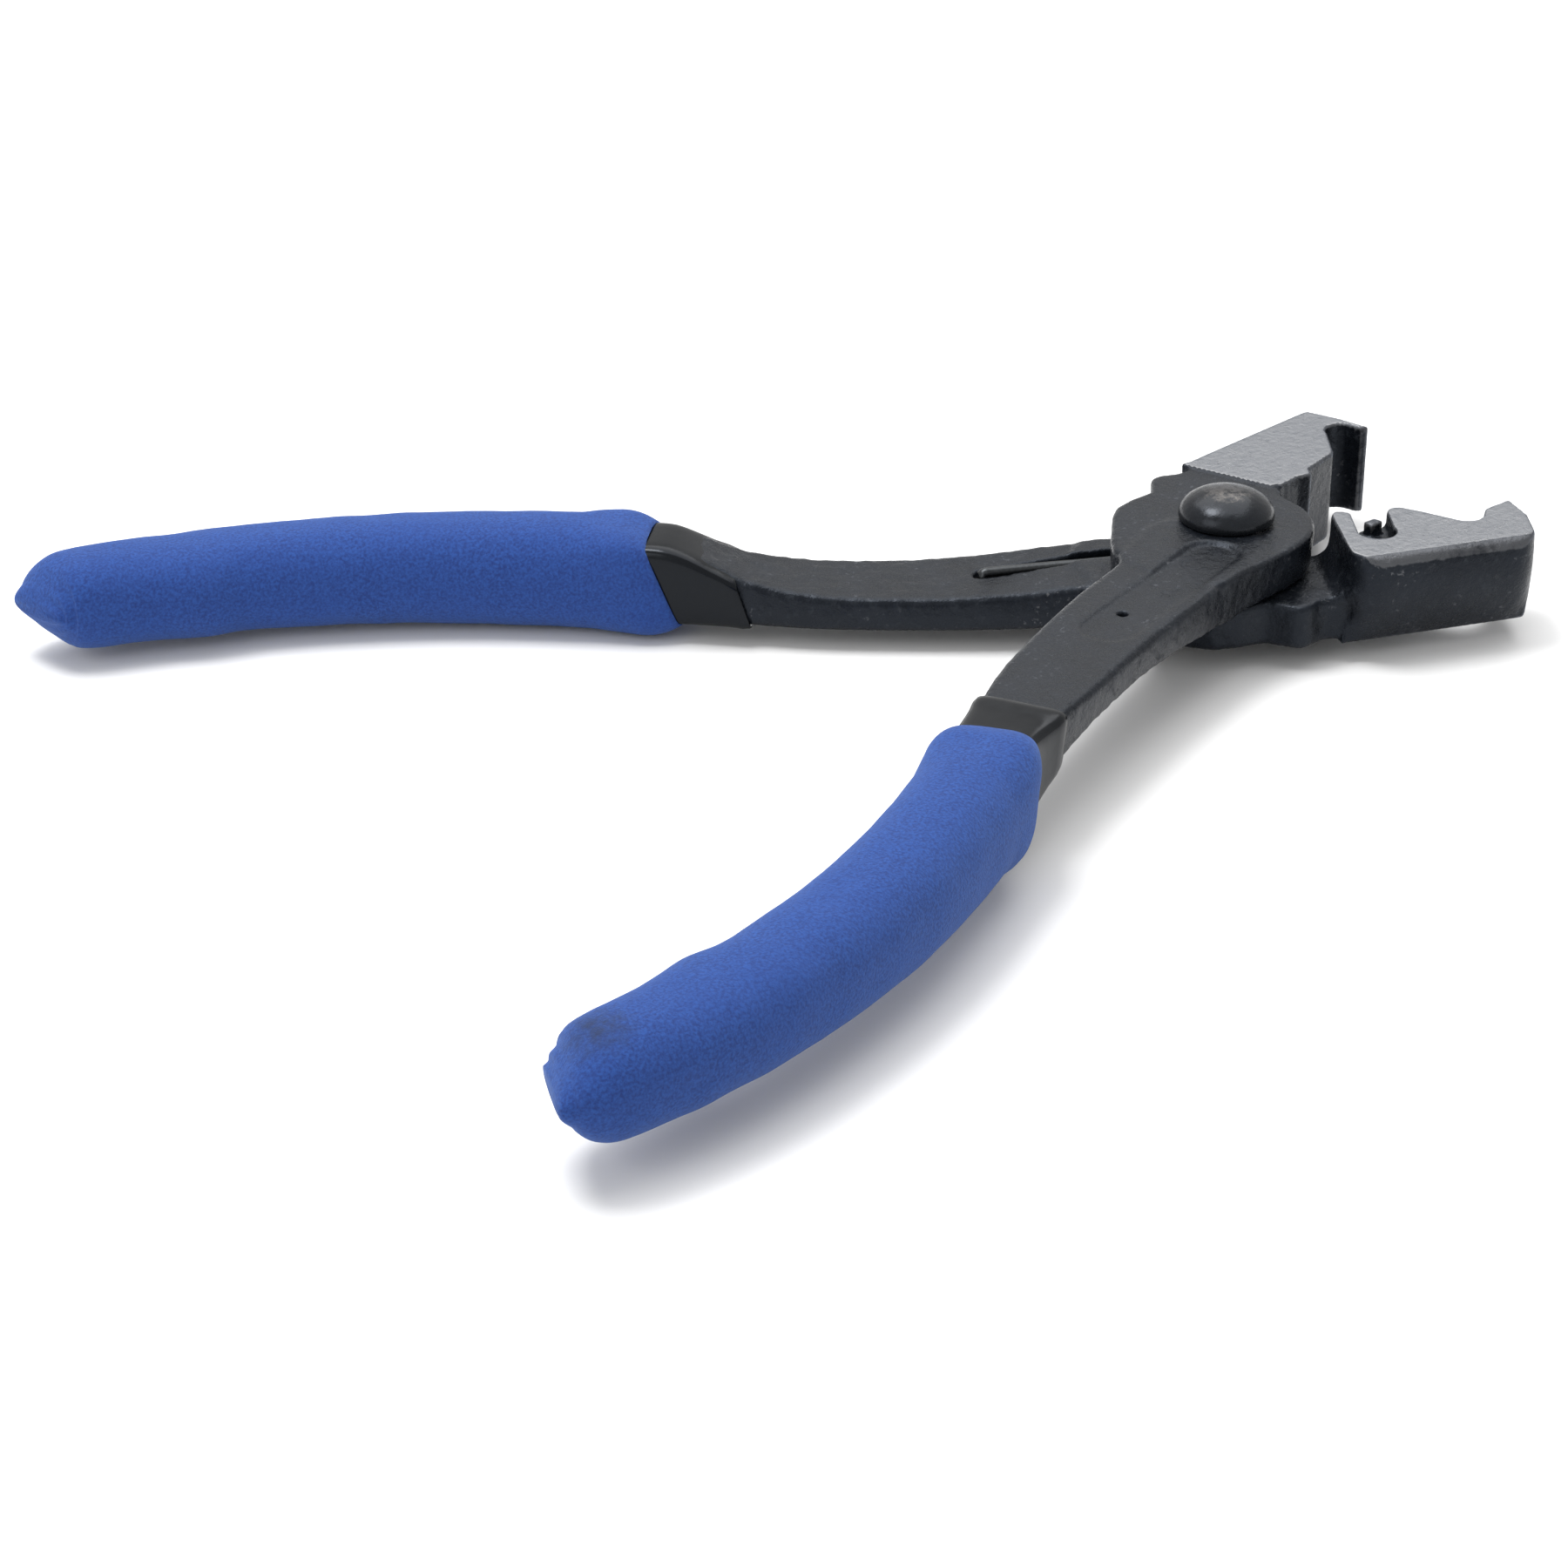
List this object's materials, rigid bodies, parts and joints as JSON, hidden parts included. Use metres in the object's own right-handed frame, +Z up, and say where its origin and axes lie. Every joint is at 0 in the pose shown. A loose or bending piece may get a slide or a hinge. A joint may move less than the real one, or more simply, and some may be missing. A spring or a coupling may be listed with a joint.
{
  "type": "hose clip pliers",
  "caption": "Spring-opened pliers with two crossed forged halves, notched full-thickness jaws, a dome-head rivet, vinyl under-sleeves and foam grips.",
  "frame": {"origin": "middle of the bottom of the overall box at rest, open against the stop", "axes": "+X along the tool from the grips to the jaws, +Z up along the pivot axis towards the rivet's domed head, +Y across the open handles"},
  "size_m": [0.1918, 0.1698, 0.0215],
  "materials": {
    "forged_steel": "black oxide on drop-forged steel, worn",
    "rivet_steel": "dark steel, worn bright on the crown",
    "spring_wire": "drawn spring wire",
    "sleeve_vinyl": "satin gloss dipped vinyl",
    "grip_foam": "matt closed-cell foam rubber"
  },
  "bodies": {
    "lower": {"lower_half": "forged_steel", "pivot_rivet": "rivet_steel", "return_spring": "spring_wire", "lower_sleeve": "sleeve_vinyl", "lower_grip": "grip_foam"},
    "upper": {"upper_half": "forged_steel", "upper_sleeve": "sleeve_vinyl", "upper_grip": "grip_foam"}
  },
  "joints": [
    {"name": "jaw_pivot", "type": "hinge", "parent": "lower", "child": "upper", "pos_m": [0.05662, 0, 0.00986], "axis": [0, 0, -1], "range_deg": [0, 42], "stiffness_Nm_per_rad": 1.2, "springref_deg": -20.05, "deforming": ["return_spring"]}
  ]
}
